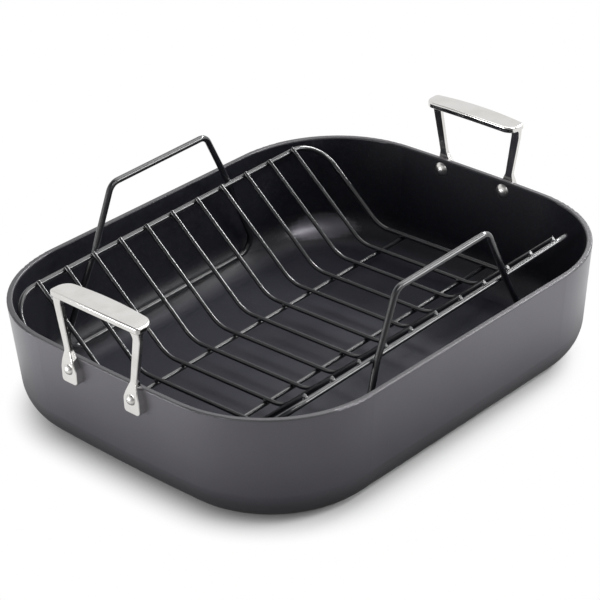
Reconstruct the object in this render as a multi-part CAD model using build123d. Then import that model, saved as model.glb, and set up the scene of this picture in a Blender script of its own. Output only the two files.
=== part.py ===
from build123d import *
import os
from math import asin, atan2, cos, degrees, hypot, radians, sin, sqrt, tan

# A deep roasting pan with two riveted end handles and a lift-out V rack made of welded wire.
# Millimetres. The origin is the centre of the pan's base, +X runs along the pan and +Z is up.
# Left and right are the two ends (-X and +X). Front and back are the two long sides (-Y and +Y).

# Pan shell
pan_half_length = 203.0
pan_half_width = 163.4
rim_corner_radius = 95.4
end_bow_radius = 2000.0
pan_height = 93.1
wall_draft = 7.6
base_fillet = 31.0
pan_wall = 4.5
pan_floor = 4.0
rim_rounding = 1.2

# End handles
grip_top_rise = 51.9
grip_thickness = 5.0
grip_crown = 1.4
grip_half_length = 44.3
grip_overhang = 7.0
grip_width = 19.6
grip_inner_bow = 1.6
grip_outer_bow = 1.8
grip_inner_corner = 9.5
grip_outer_corner = 3.0
grip_rounding = 1.3
leg_thickness = 3.5
leg_width = 6.0
leg_top_spread = 39.9
leg_neck_spread = 33.2
neck_rise = 5.0
leg_flare = 1.2
leg_flare_height = 8.0
leg_flare_radius = 14.0
leg_corner_radius = 6.0
leg_web_radius = 3.0
leg_rounding = 0.9
foot_width = 15.4
foot_spread = 31.4
foot_thickness = 6.0
foot_below_rivet = 11.5
foot_corner_radius = 3.0
foot_blend_radius = 9.0

# Rivets
rivet_drop = 8.8
rivet_shank_radius = 3.0
rivet_hole_clearance = 0.1
rivet_head_radius = 4.2
rivet_head_height = 2.6
rivet_dome_radius = 6.1
rivet_dome_height = 3.4
rivet_seat_share = 1.3

# Rack wires
rib_diameter = 3.5
frame_diameter = 4.35
runner_diameter = 3.75
loop_diameter = 5.0
weld_depth = 0.25
wire_end_rounding = 0.6

# Rack form, in the rack's own frame before it is set down in the pan
rib_count = 11
rack_end_gap = 26.3
rib_row_inset = 30.8
rib_flat_rise = 29.3
rib_flat_half = 57.9
rib_bend_radius = 25.0
rib_tip_rise = 3.8
rail_above_rim = 0.7
rail_side_gap = 27.5
frame_corner_radius = 28.0
runner_spread = 41.0
runner_end_reach = 1.0

# Carrying loops of the rack: upright above the rails, and splayed out a little below them
loop_foot_rise = 12.7
loop_foot_inset = 62.0
loop_top_inset = 120.6
loop_top_rise = 48.4
loop_bend_radius = 30.0
loop_foot_corner = 12.0
loop_top_corner = 10.0
loop_back_shift = -3.5
loop_front_shift = 0.8

# How the rack stands in the pan: a little turned and off centre, as it was set down
rack_turn = 1.67
rack_shift = -6.2
rest_clearance = 0.3

cut_overrun = 10.0

# Levels and reaches that several pieces share
draft_slope = wall_draft / pan_height
draft_angle = degrees(atan2(wall_draft, pan_height))
rivet_height = pan_height - rivet_drop
grip_top = pan_height + grip_top_rise
grip_underside = grip_top - grip_thickness
foot_bottom = rivet_height - foot_below_rivet
neck_height = pan_height + neck_rise
rail_height = pan_height + rail_above_rim
rail_reach = pan_half_width - pan_wall - rail_side_gap
rib_flat_height = pan_floor + rib_flat_rise
rack_half_length = pan_half_length - pan_wall - rack_end_gap
loop_foot_half = rack_half_length - loop_foot_inset
loop_top_half = rack_half_length - loop_top_inset


def pan_outline(inset):
    """The pan seen from above: straight long sides, slightly bowed ends, round corners."""
    bow = end_bow_radius - inset
    corner = rim_corner_radius - inset
    half_width = pan_half_width - inset
    bow_center = pan_half_length - end_bow_radius
    corner_y = half_width - corner
    corner_x = bow_center + sqrt((bow - corner) ** 2 - corner_y ** 2)
    turn = degrees(asin(corner_y / (bow - corner)))
    edges = [
        CenterArc((bow_center, 0), bow, -turn, 2 * turn),
        CenterArc((corner_x, corner_y), corner, turn, 90 - turn),
        Line((corner_x, half_width), (-corner_x, half_width)),
        CenterArc((-corner_x, corner_y), corner, 90, 90 - turn),
        CenterArc((-bow_center, 0), bow, 180 - turn, 2 * turn),
        CenterArc((-corner_x, -corner_y), corner, 180 + turn, 90 - turn),
        Line((-corner_x, -half_width), (corner_x, -half_width)),
        CenterArc((corner_x, -corner_y), corner, 270, 90 - turn),
    ]
    return make_face(edges)


def drafted_form(inset, top, bottom, fillet_radius):
    """A filled dish: the outline at the top, drawn down with the draft and rounded at its foot."""
    top_inset = inset - (top - pan_height) * draft_slope
    dish = extrude(Pos(0, 0, top) * pan_outline(top_inset), amount=bottom - top, taper=draft_angle)
    foot_edges = dish.edges().group_by(Axis.Z)[0]
    return fillet(foot_edges, fillet_radius)


pan_outer_form = drafted_form(0, pan_height, 0, base_fillet)
inner_fillet = base_fillet - pan_wall
pan_inner_form = drafted_form(pan_wall, pan_height + cut_overrun, pan_floor, inner_fillet)


def end_wall_reach(y, z):
    """How far out the end wall's outer face lies at this offset and height."""
    bow = end_bow_radius - (pan_height - z) * draft_slope
    return sqrt(bow ** 2 - y ** 2) - (end_bow_radius - pan_half_length)


def rivet_axis(y):
    """The frame of a rivet at the right end: x runs out through the wall, along +X."""
    return Plane(origin=(pan_half_length, y, rivet_height), x_dir=(0, 1, 0), z_dir=(1, 0, 0))


def pan_body():
    shell = pan_outer_form - pan_inner_form
    rim_edges = shell.edges().group_by(Axis.Z)[-1]
    shell = fillet(rim_edges, rim_rounding)
    hole = Cylinder(rivet_shank_radius + rivet_hole_clearance, 4 * (pan_wall + wall_draft))
    for y in (-foot_spread, foot_spread):
        for end in (0, 180):
            shell -= Rot(0, 0, end) * rivet_axis(y).location * hole
    return shell


def grip_plate():
    """The lens shaped plate that the hand holds, arched a little along its length."""
    outer = pan_half_length + grip_overhang
    inner = outer - grip_width
    length = grip_half_length
    inner_side = ThreePointArc((inner + grip_inner_bow, -length), (inner, 0), (inner + grip_inner_bow, length))
    outer_side = ThreePointArc((outer - grip_outer_bow, length), (outer, 0), (outer - grip_outer_bow, -length))
    ends = [Line(inner_side @ 1, outer_side @ 0), Line(outer_side @ 1, inner_side @ 0)]
    lens = make_face([inner_side, outer_side] + ends)
    lens = fillet(lens.vertices().group_by(Axis.X)[0], grip_inner_corner)
    lens = fillet(lens.vertices().group_by(Axis.X)[-1], grip_outer_corner)
    low = grip_underside - grip_crown
    plate = extrude(Pos(0, 0, low) * lens, amount=grip_thickness + grip_crown)
    reach = length + cut_overrun
    drop = grip_crown * (reach / length) ** 2
    crown_top = ThreePointArc((0, -reach, grip_top - drop), (0, 0, grip_top), (0, reach, grip_top - drop))
    crown_low = Pos(0, 0, -grip_thickness) * crown_top
    sides = [Line(crown_top @ 1, crown_low @ 1), Line(crown_low @ 0, crown_top @ 0)]
    band = make_face([crown_top, crown_low] + sides)
    plate &= extrude(Pos(inner - cut_overrun, 0, 0) * band, amount=grip_width + 2 * cut_overrun, dir=(1, 0, 0))
    return plate


def grip_underside_at(y):
    """Height of the arched underside of the grip plate."""
    return grip_underside - grip_crown * (y / grip_half_length) ** 2


def leg_from_front():
    """One leg and its foot seen along X, at the back end of the grip."""
    leg_half = leg_width / 2
    foot_half = foot_width / 2
    inner_y = leg_top_spread - leg_half
    stub_y = inner_y - 1.5 * leg_corner_radius
    middle = grip_underside + grip_thickness / 2
    flare_start = grip_underside - leg_flare_height
    outline = [
        (foot_spread - foot_half, foot_bottom),
        (foot_spread + foot_half, foot_bottom),
        (foot_spread + foot_half, rivet_height),
        (leg_neck_spread + leg_half, neck_height),
        (leg_top_spread + leg_half, flare_start),
        (grip_half_length - grip_rounding, middle),
        (stub_y, middle),
        (stub_y, grip_underside_at(stub_y)),
        (inner_y, grip_underside_at(inner_y)),
        (leg_neck_spread - leg_half, neck_height),
        (foot_spread - foot_half, rivet_height),
    ]
    face = make_face(Polyline(*outline, close=True))
    radii = {
        0: foot_corner_radius, 1: foot_corner_radius, 2: foot_blend_radius, 3: foot_blend_radius,
        4: leg_flare_radius, 8: leg_corner_radius, 9: foot_blend_radius, 10: foot_blend_radius,
    }
    for corner, radius in radii.items():
        vertex = face.vertices().sort_by_distance(outline[corner] + (0,))[0]
        face = fillet(vertex, radius)
    return Plane.YZ * face


def leg_from_side():
    """The same leg seen along Y: a thin strap above the rim and a thick foot below it."""
    leg_inner = end_wall_reach(foot_spread, pan_height)
    leg_outer = leg_inner + leg_thickness
    foot_outer = end_wall_reach(foot_spread, rivet_height) + foot_thickness
    foot_back = leg_inner - wall_draft
    underside = grip_underside_at(leg_top_spread)
    web_start = leg_inner - 2 * leg_web_radius
    middle = grip_underside + grip_thickness / 2
    outline = [
        (foot_back, foot_bottom),
        (foot_outer, foot_bottom),
        (foot_outer, rivet_height + rivet_seat_share * rivet_head_radius),
        (leg_outer, neck_height),
        (leg_outer, grip_underside - leg_flare_height),
        (leg_outer + leg_flare, middle),
        (web_start, middle),
        (web_start, underside),
        (leg_inner, underside),
        (leg_inner, pan_height),
        (foot_back, pan_height),
    ]
    face = make_face(Polyline(*outline, close=True))
    radii = {2: foot_blend_radius, 3: foot_blend_radius, 4: leg_flare_radius, 8: leg_web_radius}
    for corner, radius in radii.items():
        vertex = face.vertices().sort_by_distance(outline[corner] + (0,))[0]
        face = fillet(vertex, radius)
    return Plane.XZ * face


def leg_and_foot():
    """The leg fills both its views, and its foot lies against the pan's outer wall."""
    front = extrude(leg_from_front(), amount=pan_half_length + grip_width)
    side = extrude(leg_from_side(), amount=-(grip_half_length + cut_overrun))
    leg = front & side
    return leg - pan_outer_form


def outer_rim(leg):
    """The edges round the faces of a leg that look outwards, up to the grip plate."""
    faces = leg.faces().filter_by(lambda face: face.normal_at(face.center()).X > 0.9)
    edges = [edge for face in faces for edge in face.edges()]
    return [edge for edge in edges if edges.count(edge) == 1 and edge.center().Z < grip_top - grip_thickness / 2]


def pan_handle():
    """The whole casting at the right end: grip plate, two legs and two bored feet."""
    plate = grip_plate()
    plate = fillet(plate.edges().filter_by(lambda edge: abs((edge % 0.5).Z) < 0.5), grip_rounding)
    leg = leg_and_foot()
    leg = fillet(outer_rim(leg), leg_rounding)
    handle = plate + leg + mirror(leg, about=Plane.XZ)
    hole = Cylinder(rivet_shank_radius + rivet_hole_clearance, 2 * (foot_thickness + cut_overrun))
    for y in (-foot_spread, foot_spread):
        handle -= rivet_axis(y).location * hole
    return handle


def pan_rivet(y):
    """A rivet at the right end: small head on the foot, shank, and wide dome inside the wall."""
    axis = rivet_axis(y)
    seat = end_wall_reach(foot_spread, rivet_height) + foot_thickness - pan_half_length
    wall_face = end_wall_reach(y, rivet_height) - pan_wall - pan_half_length
    skirt = 2 * rivet_dome_radius * draft_slope
    head_arc = ThreePointArc(*cap_points(rivet_head_radius, rivet_head_height, seat, 1))
    head = make_face([head_arc, Line(head_arc @ 1, (0, seat)), Line((0, seat), head_arc @ 0)])
    dome_arc = ThreePointArc(*cap_points(rivet_dome_radius, rivet_dome_height, wall_face, -1))
    dome_side = Polyline(dome_arc @ 1, (rivet_dome_radius, wall_face + skirt), (0, wall_face + skirt), dome_arc @ 0)
    dome = make_face([dome_arc, dome_side])
    shank = Pos(0, 0, (seat + wall_face) / 2) * Cylinder(rivet_shank_radius, seat - wall_face + skirt)
    inner_part = axis.location * revolve(Plane.XZ * dome, Axis.Z) & pan_inner_form
    outer_part = axis.location * (revolve(Plane.XZ * head, Axis.Z) + shank)
    return outer_part + inner_part


def cap_points(radius, height, base, direction):
    """Top, middle and foot of the arc that a domed head is turned from, as radius and height."""
    ball = (radius ** 2 + height ** 2) / (2 * height)
    center = base + direction * (height - ball)
    half_turn = asin(radius / ball) / 2
    middle = (ball * sin(half_turn), center + direction * ball * cos(half_turn))
    return (0, base + direction * height), middle, (radius, base)


# The rack's profile across the pan: a flat middle between two straight slopes up to the rails.
# On the slopes the ribs lie on the rails, and on the flat the ribs and end wires lie on the runners.
rail_set_out = (rib_diameter + frame_diameter) / 2 - weld_depth
runner_height = rib_flat_height - (rib_diameter + runner_diameter) / 2 + weld_depth
frame_flat_height = runner_height + (runner_diameter + frame_diameter) / 2 - weld_depth
rail_run = rail_reach - rib_flat_half
rail_climb = rail_height - rib_flat_height
side_slope = atan2(rail_climb, rail_run) + asin(rail_set_out / hypot(rail_run, rail_climb))
frame_flat_half = rail_reach - (rail_height - frame_flat_height) / tan(side_slope)
rib_tip_height = rail_height + rib_tip_rise
rib_tip_reach = rib_flat_half + (rib_tip_height - rib_flat_height) / tan(side_slope)


def bent_wire(path, diameter):
    section = Plane(origin=path @ 0, z_dir=path % 0) * Circle(diameter / 2)
    return sweep(section, path=path)


def frame_wire():
    """The closed outer wire: two rails along the sides, down and across at both ends."""
    right_end = [
        (rack_half_length, -rail_reach, rail_height),
        (rack_half_length, -frame_flat_half, frame_flat_height),
        (rack_half_length, frame_flat_half, frame_flat_height),
        (rack_half_length, rail_reach, rail_height),
    ]
    left_end = [(-x, -y, z) for x, y, z in right_end]
    points = right_end + left_end
    radii = 2 * [frame_corner_radius, rib_bend_radius, rib_bend_radius, frame_corner_radius]
    path = FilletPolyline(*points, radius=radii, close=True)
    return bent_wire(path, frame_diameter)


def rib():
    """One cross wire: the wide V with its flat middle, ends a little rounded."""
    path = FilletPolyline(
        (0, -rib_tip_reach, rib_tip_height),
        (0, -rib_flat_half, rib_flat_height),
        (0, rib_flat_half, rib_flat_height),
        (0, rib_tip_reach, rib_tip_height),
        radius=rib_bend_radius,
    )
    wire = bent_wire(path, rib_diameter)
    tips = wire.faces().sort_by(Axis.Z)[-2:]
    return fillet(tips.edges(), wire_end_rounding)


def runner():
    """A straight wire along the rack, under the ribs and the two end wires."""
    half_length = rack_half_length + frame_diameter / 2 + runner_end_reach
    return Rot(0, 90, 0) * Cylinder(runner_diameter / 2, 2 * half_length)


def loop_foot_reach():
    """Where the lower bar of a loop lies so that its turned end just clears the floor fillet."""
    wall_angle = radians(draft_angle)
    center_height = pan_floor + inner_fillet
    wall_at_center = pan_half_width - pan_wall - (pan_height - center_height) * draft_slope
    center_reach = wall_at_center - inner_fillet / cos(wall_angle)
    free_radius = inner_fillet - loop_diameter / 2 - rest_clearance
    drop = center_height - pan_floor - loop_foot_rise
    far_reach = center_reach + sqrt(free_radius ** 2 - drop ** 2)
    turn = radians(rack_turn)
    bar_end = loop_foot_half - loop_foot_corner + max(abs(loop_back_shift), abs(loop_front_shift))
    return (far_reach - bar_end * sin(turn)) / cos(turn)


def carrying_loop(side, shift):
    """A closed loop that runs under the rack's side, up past the rail and upright to its top bar."""
    foot_height = pan_floor + loop_foot_rise
    top_height = pan_height + loop_top_rise
    foot_reach = side * loop_foot_reach()
    leg_reach = side * (rail_reach + (frame_diameter + loop_diameter) / 2 - weld_depth)
    bend_share = (rail_height - foot_height) / (top_height - foot_height)
    bend_half = loop_foot_half + bend_share * (loop_top_half - loop_foot_half)
    right_leg = [
        (shift + loop_foot_half, foot_reach, foot_height),
        (shift + bend_half, leg_reach, rail_height),
        (shift + loop_top_half, leg_reach, top_height),
    ]
    left_leg = [(2 * shift - x, y, z) for x, y, z in reversed(right_leg)]
    radii = [loop_foot_corner, loop_bend_radius, loop_top_corner]
    path = FilletPolyline(*right_leg, *left_leg, radius=radii + radii[::-1], close=True)
    return bent_wire(path, loop_diameter)


def rack():
    """All the rack's wires in the rack's own frame. Each weld is a seat cut by the wire below."""
    frame = frame_wire()
    pieces = {"rack_frame_wire": frame}
    runners = []
    for name, side in (("front", -1), ("back", 1)):
        wire = Pos(0, side * runner_spread, runner_height) * runner() - frame
        pieces["rack_runner_" + name] = wire
        runners.append(wire)
    pitch = 2 * (rack_half_length - rib_row_inset) / (rib_count - 1)
    for number in range(rib_count):
        place = Pos((number - (rib_count - 1) / 2) * pitch, 0, 0)
        pieces[f"rack_rib_{number + 1:02d}"] = place * rib() - frame - runners[0] - runners[1]
    pieces["rack_loop_front"] = carrying_loop(-1, loop_front_shift) - frame
    pieces["rack_loop_back"] = carrying_loop(1, loop_back_shift) - frame
    return pieces


def pan():
    """The shell with its two handles and four rivets."""
    pieces = {"pan_body": pan_body()}
    handle = pan_handle()
    pieces["pan_handle_right"] = handle
    pieces["pan_handle_left"] = mirror(handle, about=Plane.YZ)
    for name, side in (("front", -1), ("back", 1)):
        rivet = pan_rivet(side * foot_spread)
        pieces["pan_rivet_right_" + name] = rivet
        pieces["pan_rivet_left_" + name] = mirror(rivet, about=Plane.YZ)
    return pieces


os.makedirs("parts", exist_ok=True)
rack_place = Location((rack_shift, 0, 0), (0, 0, rack_turn))
pieces = pan()
pieces.update({name: rack_place * wire for name, wire in rack().items()})
for name, solid in pieces.items():
    export_step(solid, f"parts/{name}.step")
    print(f"{name}: {solid.volume:.0f} cubic mm")
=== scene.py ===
import bpy
from math import cos, radians, sin
from mathutils import Matrix, Vector


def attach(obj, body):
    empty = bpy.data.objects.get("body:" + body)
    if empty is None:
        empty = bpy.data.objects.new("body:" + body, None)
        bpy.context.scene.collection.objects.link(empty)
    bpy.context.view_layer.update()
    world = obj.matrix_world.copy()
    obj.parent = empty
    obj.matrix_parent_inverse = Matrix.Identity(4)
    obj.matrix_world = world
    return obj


# Roasting pan with a lift-out V rack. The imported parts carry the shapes; this file adds finishes,
# the weld beads of the rack, studio light and the camera. Lengths are in metres.
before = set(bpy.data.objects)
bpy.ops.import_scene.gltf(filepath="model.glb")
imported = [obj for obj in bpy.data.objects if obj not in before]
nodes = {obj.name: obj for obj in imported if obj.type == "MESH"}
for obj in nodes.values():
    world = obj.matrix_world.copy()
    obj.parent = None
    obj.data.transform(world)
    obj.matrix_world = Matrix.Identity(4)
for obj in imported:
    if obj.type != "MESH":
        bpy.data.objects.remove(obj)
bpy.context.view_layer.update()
print("stage: frame loaded,", len(nodes), "parts")

mm = 0.001


# A node's output that takes part in sums: each sum adds its Math node to the same tree
class Value:
    def __init__(self, tree, socket):
        self.tree = tree
        self.socket = socket

    def maths(self, operation, *values):
        settings = {"operation": operation}
        return addNode(self.tree, "ShaderNodeMath", settings, dict(enumerate(values)))

    def __add__(self, other): return self.maths("ADD", self, other)
    def __radd__(self, other): return self.maths("ADD", other, self)
    def __sub__(self, other): return self.maths("SUBTRACT", self, other)
    def __rsub__(self, other): return self.maths("SUBTRACT", other, self)
    def __mul__(self, other): return self.maths("MULTIPLY", self, other)
    def __rmul__(self, other): return self.maths("MULTIPLY", other, self)
    def __truediv__(self, other): return self.maths("DIVIDE", self, other)
    def __rtruediv__(self, other): return self.maths("DIVIDE", other, self)
    def __neg__(self): return self.maths("MULTIPLY", self, -1.0)
    def absolute(self): return self.maths("ABSOLUTE", self)
    def root(self): return self.maths("SQRT", self)
    def least(self, other): return self.maths("MINIMUM", self, other)
    def most(self, other): return self.maths("MAXIMUM", self, other)
    def share(self): return self.least(1.0).most(0.0)
    def above(self, level, blur): return self.ramp(level - blur, level + blur)
    def below(self, level, blur): return 1 - self.above(level, blur)

    def ramp(self, low, high, start=0.0, end=1.0):
        settings = {"interpolation_type": "SMOOTHSTEP", "clamp": True}
        inputs = {0: self, 1: low, 2: high, 3: start, 4: end}
        return addNode(self.tree, "ShaderNodeMapRange", settings, inputs)


def addNode(tree, kind, settings=None, inputs=None, output=0):
    node = tree.nodes.new(kind)
    for name, value in (settings or {}).items():
        setattr(node, name, value)
    for key, value in (inputs or {}).items():
        if isinstance(value, Value):
            tree.links.new(value.socket, node.inputs[key])
        else:
            node.inputs[key].default_value = value
    return Value(tree, node.outputs[output])


def mixColours(tree, factor, first, second):
    # 6, 7 and 2 are the Mix node's colour sockets
    inputs = {"Factor": factor, 6: first, 7: second}
    return addNode(tree, "ShaderNodeMix", {"data_type": "RGBA"}, inputs, 2)


def noise(tree, place, scale, detail, roughness):
    inputs = {"Vector": place, "Scale": scale, "Detail": detail, "Roughness": roughness}
    return addNode(tree, "ShaderNodeTexNoise", {}, inputs)


def bump(tree, height, distance, strength):
    inputs = {"Height": height, "Distance": distance, "Strength": strength}
    return addNode(tree, "ShaderNodeBump", {}, inputs)


def splitPlace(tree, place):
    split = addNode(tree, "ShaderNodeSeparateXYZ", {}, {0: place})
    return [Value(tree, socket) for socket in split.socket.node.outputs]


def newMaterial(name):
    material = bpy.data.materials.new(name)
    material.use_nodes = True
    tree = material.node_tree
    place = addNode(tree, "ShaderNodeTexCoord", output="Object")
    return material, tree, tree.nodes["Principled BSDF"], place


def setShader(shader, **values):
    for name, value in values.items():
        socket = shader.inputs[name.replace("_", " ")]
        if isinstance(value, Value):
            value.tree.links.new(value.socket, socket)
        else:
            socket.default_value = value


def addObject(name, data):
    item = bpy.data.objects.new(name, data)
    bpy.context.scene.collection.objects.link(item)
    return item


def dress(names, material):
    for name in names:
        mesh = nodes[name].data
        mesh.materials.clear()
        mesh.materials.append(material)


# Pan: hard anodised outside, burnished a little along the rim, nonstick coating inside
panLook = {
    # form of the shell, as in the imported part
    "halfLength": 203.0 * mm,
    "halfWidth": 163.4 * mm,
    "cornerRadius": 95.4 * mm,
    "endBow": 2000.0 * mm,  # radius of the slightly bowed ends
    "height": 93.1 * mm,
    "draft": 7.6 / 93.1,
    "baseFillet": 31.0 * mm,
    # where coating and bare rim begin
    "coatingDepth": 2.1 * mm,
    "coatingBlur": 0.2 * mm,
    "rimWidth": 3.85 * mm,
    "rimWidthBlur": 0.08 * mm,
    "rimDrop": 1.6 * mm,
    "rimDropBlur": 0.1 * mm,
    # anodised metal
    "anodised": (0.122, 0.116, 0.136, 1),
    "anodisedPale": (0.156, 0.150, 0.170, 1),
    "anodisedMetal": 0.85,
    "anodisedRoughness": 0.42,
    "anodisedCoat": 0.8,
    "anodisedCoatRoughness": 0.30,
    "grain": {"scale": 1500.0, "detail": 3.0, "roughness": 0.6},
    "grainTone": 0.9,
    "grainRoughness": 0.14,
    "grainHeight": 0.6,
    "cloud": {"scale": 16.0, "detail": 2.0, "roughness": 0.5},
    "cloudRange": (0.3, 0.7),
    "cloudTone": 0.35,
    "cloudRoughness": 0.04,
    "baseTone": 0.15,
    # burnished edge of the rim
    "burnished": (0.110, 0.107, 0.111, 1),
    "burnishDrop": 1.3 * mm,
    "burnishBlur": 0.7 * mm,
    "burnishTone": 0.80,
    "burnishGrain": 0.5,
    "burnishRoughness": 0.12,
    "burnishCoatLoss": 0.75,
    # nonstick coating, with a painted sheen on the floor
    "coating": (0.0048, 0.0050, 0.0095, 1),
    "coatingPale": (0.0078, 0.0082, 0.0135, 1),
    "coatingRoughness": 0.44,
    "mottle": {"scale": 300.0, "detail": 3.0, "roughness": 0.55},
    "mottleRange": (0.35, 0.7),
    "mottleRoughness": 0.04,
    # the floor's coating is painted lighter than the walls: a painted sheen for the overhead light
    # that falls on it
    "paintedFloorSheenColour": (0.0235, 0.0238, 0.0345, 1),
    "floorRise": 8.0 * mm,
    "floorBlur": 4.0 * mm,
    "paintedFloorSheen": 0.85,
    "fleck": (0.085, 0.085, 0.095, 1),
    "speck": {"scale": 1900.0, "detail": 1.0, "roughness": 0.4},
    "fleckLevel": 0.70,
    "fleckBlur": 0.03,
    "fleckTone": 0.55,
    "peel": {"scale": 950.0, "detail": 2.0, "roughness": 0.6},
    "peelHeight": 3.2,
    "specular": 0.36,
    "bumpDistance": 0.025 * mm,
    "bumpStrength": 0.4,
}


def inwardOfWall(x, y, z):
    # level distance from the drafted outer wall, more than 0 inside it
    look = panLook
    bowed = x.absolute() + y * y / (2 * look["endBow"])
    acrossX = bowed - (look["halfLength"] - look["cornerRadius"])
    acrossY = y.absolute() - (look["halfWidth"] - look["cornerRadius"])
    outX = acrossX.most(0.0)
    outY = acrossY.most(0.0)
    corner = (outX * outX + outY * outY).root() + acrossX.most(acrossY).least(0.0)
    return look["cornerRadius"] - corner - (look["height"] - z) * look["draft"]


def depthInShell(inward, z):
    # the same distance carried round the base fillet and under the floor
    fillet = panLook["baseFillet"]
    sideGap = (fillet - inward).most(0.0)
    baseGap = (fillet - z).most(0.0)
    return fillet - (sideGap * sideGap + baseGap * baseGap).root()


def makePanFinish():
    look = panLook
    material, tree, shader, place = newMaterial("anodisedPan")
    x, y, z = splitPlace(tree, place)
    inward = inwardOfWall(x, y, z)
    rim = z.above(look["height"] - look["rimDrop"], look["rimDropBlur"])
    rim = rim * inward.below(look["rimWidth"], look["rimWidthBlur"])
    inside = depthInShell(inward, z).above(look["coatingDepth"], look["coatingBlur"]) * (1 - rim)
    outside = 1 - inside

    grain = noise(tree, place, **look["grain"])
    cloud = noise(tree, place, **look["cloud"])
    tone = (grain - 0.5) * look["grainTone"] + look["baseTone"]
    tone = tone + cloud.ramp(*look["cloudRange"]) * look["cloudTone"]
    metal = mixColours(tree, tone.share(), look["anodised"], look["anodisedPale"])
    edge = z.above(look["height"] - look["burnishDrop"], look["burnishBlur"])
    burnish = edge * (look["burnishTone"] + (grain - 0.5) * look["burnishGrain"])
    metal = mixColours(tree, burnish.share(), metal, look["burnished"])
    metalRoughness = look["anodisedRoughness"] + (grain - 0.5) * look["grainRoughness"]
    metalRoughness = metalRoughness + (cloud - 0.5) * look["cloudRoughness"]
    metalRoughness = metalRoughness + edge * look["burnishRoughness"]

    mottle = noise(tree, place, **look["mottle"]).ramp(*look["mottleRange"])
    coat = mixColours(tree, mottle, look["coating"], look["coatingPale"])
    # painted sheen: the coating turns lighter low on the floor, where the overhead light falls
    paintedFloorSheen = z.below(look["floorRise"], look["floorBlur"]) * look["paintedFloorSheen"]
    coat = mixColours(tree, paintedFloorSheen, coat, look["paintedFloorSheenColour"])
    speck = noise(tree, place, **look["speck"])
    flecks = speck.above(look["fleckLevel"], look["fleckBlur"]) * look["fleckTone"]
    coat = mixColours(tree, flecks, coat, look["fleck"])
    coatRoughness = look["coatingRoughness"] + (mottle - 0.5) * look["mottleRoughness"]

    peel = noise(tree, place, **look["peel"])
    height = grain * outside * look["grainHeight"] + peel * inside * look["peelHeight"]
    setShader(
        shader,
        Base_Color=mixColours(tree, inside, metal, coat),
        Metallic=look["anodisedMetal"] * outside,
        Roughness=metalRoughness * outside + coatRoughness * inside,
        Coat_Weight=look["anodisedCoat"] * outside * (1 - edge * look["burnishCoatLoss"]),
        Coat_Roughness=look["anodisedCoatRoughness"],
        Specular_IOR_Level=look["specular"],
        Normal=bump(tree, height, look["bumpDistance"], look["bumpStrength"]),
    )
    return material


dress(["pan_body"], makePanFinish())


# Handles and rivets: polished stainless steel
steelLook = {
    "steel": (0.80, 0.79, 0.77, 1),
    "steelWarm": (0.74, 0.725, 0.70, 1),
    "handleRoughness": 0.13,
    "rivetRoughness": 0.28,
    "strokeStretch": (1.0, 0.06, 1.0),
    "strokes": {"scale": 2600.0, "detail": 3.0, "roughness": 0.6},
    "strokeRoughness": 0.10,
    "strokeHeight": 0.4,
    "haze": {"scale": 75.0, "detail": 3.0, "roughness": 0.55},
    "hazeRange": (0.35, 0.75),
    "hazeRoughness": 0.08,
    "bumpDistance": 0.012 * mm,
    "bumpStrength": 0.25,
}


def makeSteelFinish(name, roughness):
    look = steelLook
    material, tree, shader, place = newMaterial(name)
    stretch = {"Vector": place, "Scale": look["strokeStretch"]}
    strokes = noise(tree, addNode(tree, "ShaderNodeMapping", {}, stretch), **look["strokes"])
    haze = noise(tree, place, **look["haze"])
    tone = haze.ramp(*look["hazeRange"])
    spread = (strokes - 0.5) * look["strokeRoughness"] + (haze - 0.5) * look["hazeRoughness"]
    height = strokes * look["strokeHeight"] + haze
    setShader(
        shader,
        Base_Color=mixColours(tree, tone, look["steel"], look["steelWarm"]),
        Metallic=1.0,
        Roughness=roughness + spread,
        Normal=bump(tree, height, look["bumpDistance"], look["bumpStrength"]),
    )
    return material


handleNames = [name for name in nodes if name.startswith("pan_handle")]
rivetNames = [name for name in nodes if name.startswith("pan_rivet")]
dress(handleNames, makeSteelFinish("polishedHandle", steelLook["handleRoughness"]))
dress(rivetNames, makeSteelFinish("polishedRivet", steelLook["rivetRoughness"]))


# Rack: gloss black coating on round steel wire
rackLook = {
    "coating": (0.0055, 0.0058, 0.0085, 1),
    "coatingWorn": (0.0110, 0.0115, 0.0150, 1),
    "roughness": 0.38,
    "specular": 0.40,
    "coat": 1.0,
    "coatRoughness": 0.09,
    "patch": {"scale": 45.0, "detail": 3.0, "roughness": 0.6},
    "patchRange": (0.45, 0.75),
    "patchRoughness": 0.10,
    "peel": {"scale": 420.0, "detail": 3.0, "roughness": 0.55},
    "bumpDistance": 0.03 * mm,
    "bumpStrength": 0.03,
}


def makeRackFinish():
    look = rackLook
    material, tree, shader, place = newMaterial("glossBlackWire")
    patch = noise(tree, place, **look["patch"])
    worn = patch.ramp(*look["patchRange"])
    peel = noise(tree, place, **look["peel"])
    setShader(
        shader,
        Base_Color=mixColours(tree, worn, look["coating"], look["coatingWorn"]),
        Roughness=look["roughness"] + (patch - 0.5) * look["patchRoughness"],
        Normal=bump(tree, peel, look["bumpDistance"], look["bumpStrength"]),
        Specular_IOR_Level=look["specular"],
        Coat_Weight=look["coat"],
        Coat_Roughness=look["coatRoughness"],
    )
    return material


rackFinish = makeRackFinish()
dress([name for name in nodes if name.startswith("rack_")], rackFinish)
print("stage: finishes on", len(nodes), "parts")


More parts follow.
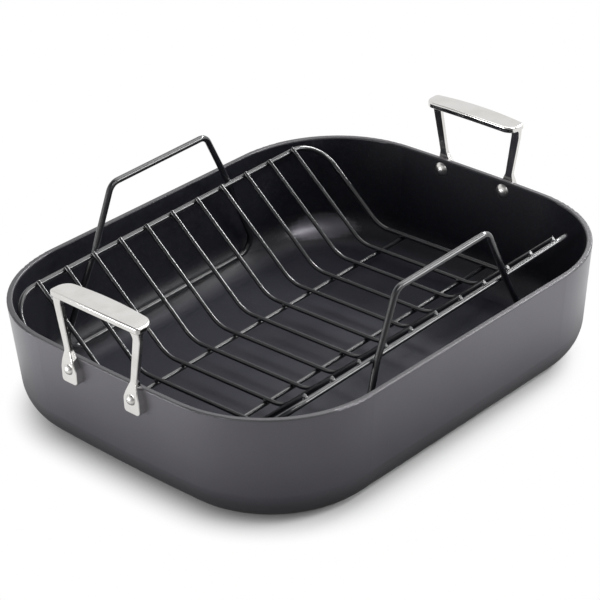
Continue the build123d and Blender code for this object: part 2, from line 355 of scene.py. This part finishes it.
# Weld beads: one small flattened lump wherever two of the rack's wires cross.
# The wires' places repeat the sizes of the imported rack, before it is turned and shifted.
weldLook = {
    "turn": 1.67,  # degrees
    "shift": -6.2 * mm,
    "ribCount": 11,
    "ribPitch": 28.28 * mm,
    "endReach": 172.2 * mm,
    "railReach": 131.4 * mm,
    "railHeight": 93.8 * mm,
    "slope": 40.7,  # degrees
    "runnerSpread": 41.0 * mm,
    "runnerHeight": 30.925 * mm,
    "runnerRadius": 1.875 * mm,
    "frameRadius": 2.175 * mm,
    "loopLegReach": 73.98 * mm,
    "loopShifts": {-1: 0.8 * mm, 1: -3.5 * mm},  # front and back loop
    # half sizes of a bead, and how much they vary
    "beadLength": 2.5 * mm,
    "beadWidth": 1.75 * mm,
    "beadHeight": 1.15 * mm,
    "spread": 0.16,
    "seed": 7,
    "subdivisions": 3,
}


def weldPlaces():
    look = weldLook
    slope = radians(look["slope"])
    runnerTop = look["runnerHeight"] + look["runnerRadius"]
    upward = Vector((0, 0, 1))
    places = []
    for number in range(look["ribCount"]):
        x = (number - (look["ribCount"] - 1) / 2) * look["ribPitch"]
        for side in (-1, 1):
            facing = Vector((0, -side * sin(slope), cos(slope)))
            rail = Vector((x, side * look["railReach"], look["railHeight"]))
            places.append((rail + facing * look["frameRadius"], facing))
            places.append((Vector((x, side * look["runnerSpread"], runnerTop)), upward))
    for side in (-1, 1):
        loopY = side * (look["railReach"] + look["frameRadius"])
        for end in (-1, 1):
            endPlace = (end * look["endReach"], side * look["runnerSpread"], runnerTop)
            places.append((Vector(endPlace), upward))
            legX = look["loopShifts"][side] + end * look["loopLegReach"]
            places.append((Vector((legX, loopY, look["railHeight"])), Vector((0, side, 0))))
    return places


def buildBeadTree(material):
    tree = bpy.data.node_groups.new("weldBeads", "GeometryNodeTree")
    face = tree.interface
    face.new_socket("Geometry", in_out="INPUT", socket_type="NodeSocketGeometry")
    for name in ("Bead Length", "Bead Width", "Bead Height", "Size Spread"):
        face.new_socket(name, in_out="INPUT", socket_type="NodeSocketFloat")
    face.new_socket("Seed", in_out="INPUT", socket_type="NodeSocketInt")
    face.new_socket("Geometry", in_out="OUTPUT", socket_type="NodeSocketGeometry")
    given = tree.nodes.new("NodeGroupInput")
    inputs = {socket.name: Value(tree, socket) for socket in given.outputs if socket.name}

    named = {"data_type": "FLOAT_VECTOR"}
    facing = addNode(tree, "GeometryNodeInputNamedAttribute", named, {"Name": "facing"})
    turned = addNode(tree, "FunctionNodeAlignRotationToVector", {"axis": "Z"}, {"Vector": facing})
    ballSize = {"Radius": 1.0, "Subdivisions": weldLook["subdivisions"]}
    ball = addNode(tree, "GeometryNodeMeshIcoSphere", {}, ballSize)
    # 2, 3, 8 and output 1 are the Random Value node's float sockets and its seed
    spread = inputs["Size Spread"]
    limits = {2: 1 - spread, 3: 1 + spread, 8: inputs["Seed"]}
    factor = addNode(tree, "FunctionNodeRandomValue", {"data_type": "FLOAT"}, limits, 1)
    sizes = {0: inputs["Bead Length"], 1: inputs["Bead Width"], 2: inputs["Bead Height"]}
    size = addNode(tree, "ShaderNodeCombineXYZ", {}, sizes)
    grown = {0: size, "Scale": factor}
    scale = addNode(tree, "ShaderNodeVectorMath", {"operation": "SCALE"}, grown)
    stamp = {"Points": inputs["Geometry"], "Instance": ball, "Rotation": turned, "Scale": scale}
    beads = addNode(tree, "GeometryNodeInstanceOnPoints", {}, stamp)
    real = addNode(tree, "GeometryNodeRealizeInstances", {}, {"Geometry": beads})
    smooth = addNode(tree, "GeometryNodeSetShadeSmooth", {}, {"Geometry": real})
    finished = {"Geometry": smooth, "Material": material}
    done = addNode(tree, "GeometryNodeSetMaterial", {}, finished)
    out = tree.nodes.new("NodeGroupOutput")
    tree.links.new(done.socket, out.inputs[0])
    return tree


def makeWeldBeads(material):
    look = weldLook
    places = weldPlaces()
    mesh = bpy.data.meshes.new("weldPlaces")
    mesh.from_pydata([place for place, facing in places], [], [])
    attribute = mesh.attributes.new("facing", "FLOAT_VECTOR", "POINT")
    for number, (place, facing) in enumerate(places):
        attribute.data[number].vector = facing
    source = addObject("weldSource", mesh)
    tree = buildBeadTree(material)
    modifier = source.modifiers.new("weldBeads", "NODES")
    modifier.node_group = tree
    values = {
        "Bead Length": look["beadLength"],
        "Bead Width": look["beadWidth"],
        "Bead Height": look["beadHeight"],
        "Size Spread": look["spread"],
        "Seed": look["seed"],
    }
    for item in tree.interface.items_tree:
        if item.in_out == "INPUT" and item.name in values:
            modifier[item.identifier] = values[item.name]
    evaluated = source.evaluated_get(bpy.context.evaluated_depsgraph_get())
    beadMesh = bpy.data.meshes.new_from_object(evaluated)
    bpy.data.objects.remove(source)
    turn = Matrix.Rotation(radians(look["turn"]), 4, "Z")
    beadMesh.transform(Matrix.Translation((look["shift"], 0, 0)) @ turn)
    beads = addObject("rack_weld_beads", beadMesh)
    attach(beads, "rack")
    print("stage: weld beads,", len(places), "places,", len(beadMesh.polygons), "faces")


makeWeldBeads(rackFinish)


# Studio: pale floor, pale surroundings, soft lamps above and to the sides.
# The camera sees floor and surroundings white; gloss sees the surroundings at their own levels and
# the floor with painted shadow and painted light.
studio = {
    "floorHalf": 6.0,
    "floorDrop": 0.05 * mm,
    "floorColour": (0.74, 0.74, 0.74, 1),
    "floorRoughness": 0.9,
    "floorSpecular": 0.1,
    # how far out from the pan's wall its soft shadow goes over to white
    "shadowStart": -20.0 * mm,
    "shadowEnd": 22.0 * mm,
    # level of the floor that gloss sees: a painted shadow low near the pan, painted shade on the
    # viewer's side, painted light to the right and behind
    "mirrorEnd": 130.0 * mm,
    "paintedShadowNear": 0.05,
    "mirrorMost": 0.92,
    "viewerSide": (-0.45, -0.90, 0.0),
    "viewerRange": (0.05, 0.35),
    "viewerPaintedShade": 0.50,
    "backRange": (-0.35, 0.0),
    "backPaintedLight": 0.5,
    "rightRange": (-0.08, 0.26),
    "rightPaintedLight": 1.55,
    "behindRange": (0.13, 0.21),
    "behindPaintedLight": 0.85,
    # surroundings, from low to high: for soft light, then for gloss
    "softRange": (0.35, 0.8),
    "softLow": 0.50,
    "softHigh": 0.20,
    "glossRange": (0.56, 0.84),
    "glossLow": 0.86,
    "glossHigh": 0.14,
    "skyViewerRange": (0.3, 0.95),
    "skyViewerLevel": 0.26,
    # area lamps
    "lampTarget": (0, 0, 0.05),
    "lamps": {
        "topLight": {"place": (0.60, 0.15, 1.30), "size": (1.3, 0.8), "power": 8.0},
        "leftLight": {"place": (-1.35, 0.55, 0.17), "size": (0.8, 0.26), "power": 8.5},
        "rightLight": {"place": (1.05, -1.10, 0.62), "size": (0.6, 0.40), "power": 9.0},
        "sideStrip": {"place": (1.25, -0.07, 0.95), "size": (1.0, 0.12), "power": 17.0},
        "frontStrip": {"place": (0.08, -0.99, 1.12), "size": (0.8, 0.10), "power": 6.0},
    },
}


def seenRays(tree):
    isCamera, isGlossy, isThrough = (
        addNode(tree, "ShaderNodeLightPath", output=name)
        for name in ("Is Camera Ray", "Is Glossy Ray", "Is Transmission Ray")
    )
    return isCamera, isGlossy.most(isThrough)


def towardViewer(tree, place):
    inputs = {0: place, 1: studio["viewerSide"]}
    return addNode(tree, "ShaderNodeVectorMath", {"operation": "DOT_PRODUCT"}, inputs, "Value")


def floorPaintedShade(tree, place):
    look = studio
    x, y, z = splitPlace(tree, place)
    outward = -inwardOfWall(x, y, z)
    nearness = towardViewer(tree, place)
    sideLevel = nearness.ramp(*look["viewerRange"], 1.0, look["viewerPaintedShade"])
    sideLevel = sideLevel + nearness.ramp(*look["backRange"], look["backPaintedLight"], 0.0)
    # painted shadow: the floor that gloss sees glows dim close to the pan and on the viewer's side,
    # and brighter to the right and behind
    level = outward.ramp(look["shadowStart"], look["mirrorEnd"], look["paintedShadowNear"], 1.0)
    level = level * sideLevel * x.ramp(*look["rightRange"], 1.0, look["rightPaintedLight"])
    level = level.most(y.ramp(*look["behindRange"], 0.0, look["behindPaintedLight"]))
    return outward, level.least(look["mirrorMost"])


def makeFloor():
    look = studio
    half = look["floorHalf"]
    mesh = bpy.data.meshes.new("studioFloor")
    corners = [(-half, -half), (half, -half), (half, half), (-half, half)]
    mesh.from_pydata([(x, y, -look["floorDrop"]) for x, y in corners], [], [(0, 1, 2, 3)])
    floor = addObject("studioFloor", mesh)
    material, tree, shader, place = newMaterial("paleFloor")
    setShader(
        shader,
        Base_Color=look["floorColour"],
        Roughness=look["floorRoughness"],
        Specular_IOR_Level=look["floorSpecular"],
    )
    outward, paintedMirrorLevel = floorPaintedShade(tree, place)
    isCamera, isGlossy = seenRays(tree)
    seenWhite = outward.ramp(look["shadowStart"], look["shadowEnd"])
    white = isCamera * seenWhite + (1 - isCamera) * isGlossy
    # gloss sees the floor glow at this painted level, with painted shadow near the pan; the camera
    # sees it white
    strength = isCamera + (1 - isCamera) * paintedMirrorLevel
    glow = addNode(tree, "ShaderNodeEmission", {}, {"Color": (1, 1, 1, 1), "Strength": strength})
    lit = Value(tree, shader.outputs[0])
    mixed = addNode(tree, "ShaderNodeMixShader", {}, {0: white, 1: lit, 2: glow})
    tree.links.new(mixed.socket, tree.nodes["Material Output"].inputs["Surface"])
    mesh.materials.append(material)


def makeWorld():
    look = studio
    world = bpy.data.worlds.new("studioSurroundings")
    bpy.context.scene.world = world
    world.use_nodes = True
    tree = world.node_tree
    direction = addNode(tree, "ShaderNodeTexCoord", output="Generated")
    height = splitPlace(tree, direction)[2]
    nearness = towardViewer(tree, direction)
    soft = height.ramp(*look["softRange"], look["softLow"], look["softHigh"])
    gloss = height.ramp(*look["glossRange"], look["glossLow"], look["glossHigh"])
    gloss = gloss * nearness.ramp(*look["skyViewerRange"], 1.0, look["skyViewerLevel"])
    isCamera, isGlossy = seenRays(tree)
    strength = isCamera + (1 - isCamera) * (isGlossy * gloss + (1 - isGlossy) * soft)
    background = tree.nodes["Background"]
    tree.links.new(strength.socket, background.inputs["Strength"])
    background.inputs["Color"].default_value = (1, 1, 1, 1)


def makeLamps():
    for name, look in studio["lamps"].items():
        lamp = bpy.data.lights.new(name, "AREA")
        lamp.shape = "RECTANGLE"
        lamp.size, lamp.size_y = look["size"]
        lamp.energy = look["power"]
        item = addObject(name, lamp)
        item.location = look["place"]
        item.rotation_mode = "QUATERNION"
        toTarget = Vector(studio["lampTarget"]) - item.location
        item.rotation_quaternion = toTarget.to_track_quat("-Z", "Y")


# Camera at the photograph's viewing angle, in degrees, metres and pixels
cameraLook = {
    "azimuth": -46.1446,
    "elevation": 29.2502,
    "roll": -2.2405,
    "distance": 1.7114591,
    "target": (-0.0017615, 0.0036155, 0.060),
    "focalPixels": 2279.7027,
    "imagePixels": 600,
    "sensor": 36.0,
    "clip": (0.05, 50),
}


def makeCamera():
    look = cameraLook
    azimuth, elevation, roll = (radians(look[name]) for name in ("azimuth", "elevation", "roll"))
    level = cos(elevation)
    back = Vector((sin(azimuth) * level, -cos(azimuth) * level, sin(elevation)))
    across = Vector((0, 0, 1)).cross(back).normalized()
    upright = back.cross(across)
    right = cos(roll) * across + sin(roll) * upright
    up = -sin(roll) * across + cos(roll) * upright
    data = bpy.data.cameras.new("photoCamera")
    data.sensor_width = look["sensor"]
    data.lens = look["focalPixels"] / look["imagePixels"] * look["sensor"]
    data.clip_start, data.clip_end = look["clip"]
    camera = addObject("photoCamera", data)
    turn = Matrix((right, up, back)).transposed().to_4x4()
    place = Vector(look["target"]) + back * look["distance"]
    camera.matrix_world = Matrix.Translation(place) @ turn
    bpy.context.scene.camera = camera


makeFloor()
makeWorld()
makeLamps()
makeCamera()
bpy.context.scene.view_settings.view_transform = "Standard"
print("stage: studio, lamps and camera")
